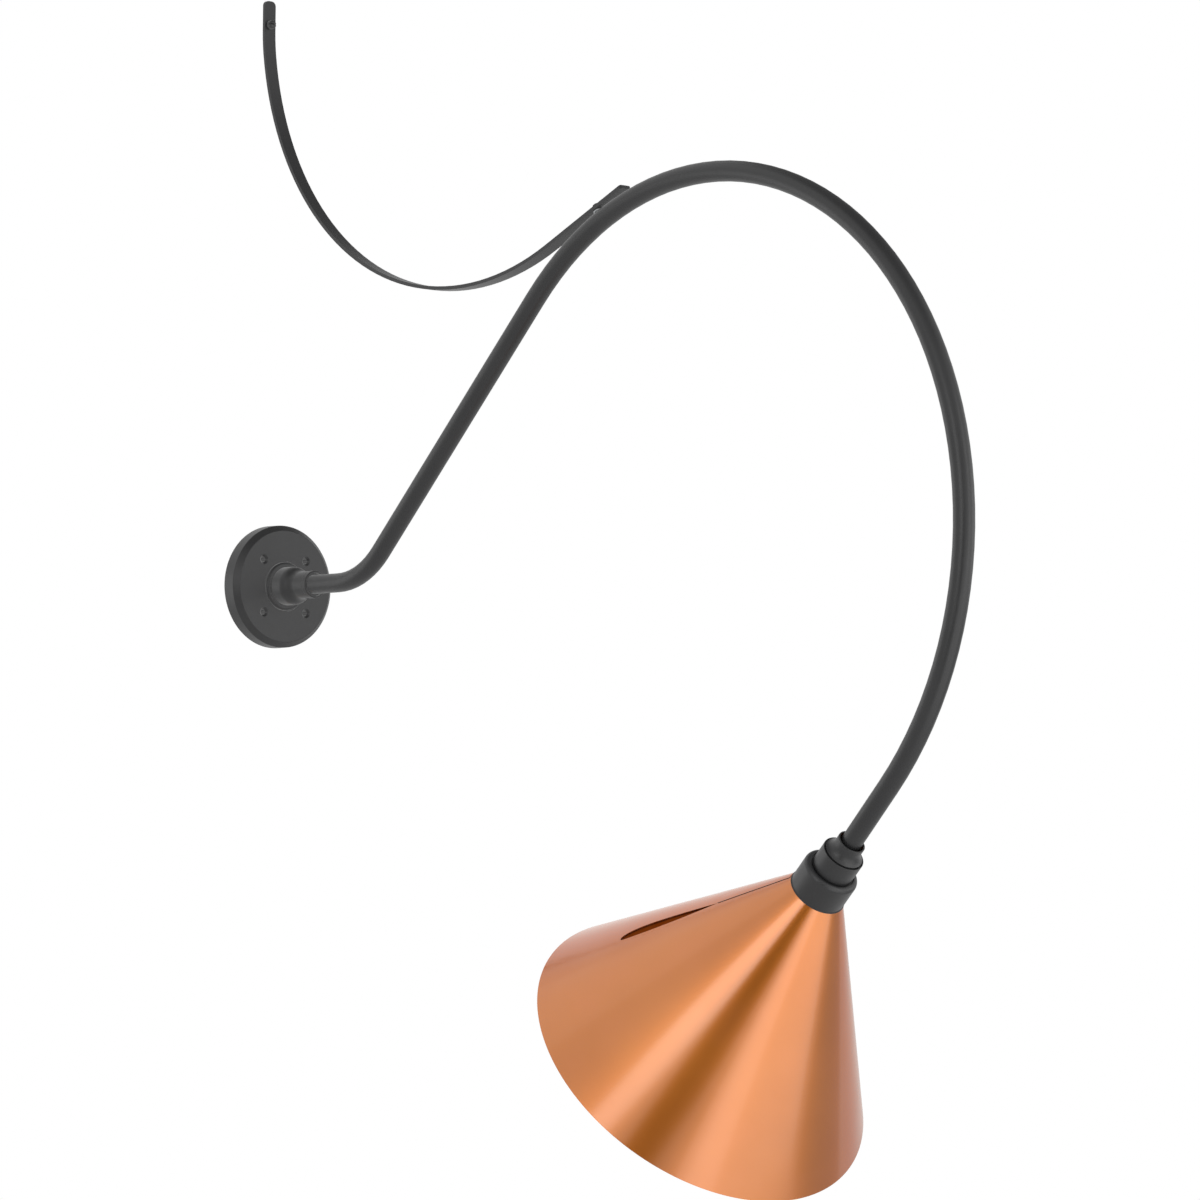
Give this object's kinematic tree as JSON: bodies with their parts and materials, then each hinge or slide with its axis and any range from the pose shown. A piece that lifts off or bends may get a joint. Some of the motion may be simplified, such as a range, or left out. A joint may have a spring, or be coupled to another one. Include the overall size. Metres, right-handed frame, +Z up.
{
  "type": "barn light",
  "caption": "Gooseneck wall light: cast wall plate, long bent tube arm, flat support strap, ball swivel and turning socket cup, copper cone shade over a screw-base bulb.",
  "frame": {"origin": "centre of the wall plate's screw circle, on the wall plane", "axes": "+Z up the wall, +Y into the wall, -Y out along the arm, X across the wall"},
  "size_m": [0.3042, 0.9085, 1.0788],
  "materials": {
    "black_coat": "satin powder coat",
    "black_cast": "satin powder coat on a casting",
    "copper": "satin copper sheet",
    "zinc_steel": "zinc plated",
    "spring_steel": "bare spring steel",
    "brass": "bare brass",
    "black_screw": "black oxide",
    "rubber": "matt",
    "nylon": "moulded",
    "black_nylon": "moulded",
    "porcelain": "glazed",
    "lead_black": "extruded insulation",
    "lead_white": "extruded insulation",
    "lead_green": "extruded insulation",
    "opal": "opal diffuser",
    "bulb_white": "white housing",
    "nickel": "nickel plated",
    "black_glass": "fused insulator"
  },
  "bodies": {
    "bracket": {"wall_plate": "black_cast", "wall_gasket": "rubber", "hub_set_screw": "black_screw", "arm_lock_collar": "black_coat", "gooseneck_arm": "black_coat", "terminal_block": "nylon", "block_screws": "zinc_steel", "earth_screw": "brass", "line_lead": "lead_black", "earth_lead": "lead_green", "neutral_lead": "lead_white", "support_strap": "black_coat", "strap_wall_screw": "black_screw", "strap_arm_screw": "black_screw", "arm_rivet_nut": "zinc_steel", "swivel_ball": "brass", "lead_bush": "black_nylon"},
    "swivel": {"swivel_bell": "black_coat", "swivel_sleeve": "black_coat", "ball_seat": "nylon", "seat_spring": "spring_steel", "retaining_washer": "zinc_steel", "sleeve_lock_nut": "zinc_steel"},
    "head": {"socket_cup": "black_coat", "turn_bush": "black_nylon", "carrier_plate": "zinc_steel", "carrier_lock_ring": "zinc_steel", "lamp_holder": "porcelain", "holder_screws": "brass", "holder_terminals": "brass", "screw_shell": "nickel", "centre_contact": "brass", "shade": "copper", "shade_gasket": "rubber", "shade_ring": "nylon", "bulb_contact": "nickel", "bulb_insulator": "black_glass", "bulb_base": "nickel", "bulb_housing": "bulb_white", "bulb_dome": "opal"}
  },
  "joints": [
    {"name": "head_tilt", "type": "hinge", "parent": "bracket", "child": "swivel", "pos_m": [0, -0.75951, -0.2445], "axis": [1, 0, 0], "range_deg": [-9.3, 2.4]},
    {"name": "head_turn", "type": "hinge", "parent": "swivel", "child": "head", "pos_m": [0, -0.75951, -0.2445], "axis": [0.0591, 0.7323, -0.6784], "range_deg": [-170, 170]}
  ]
}
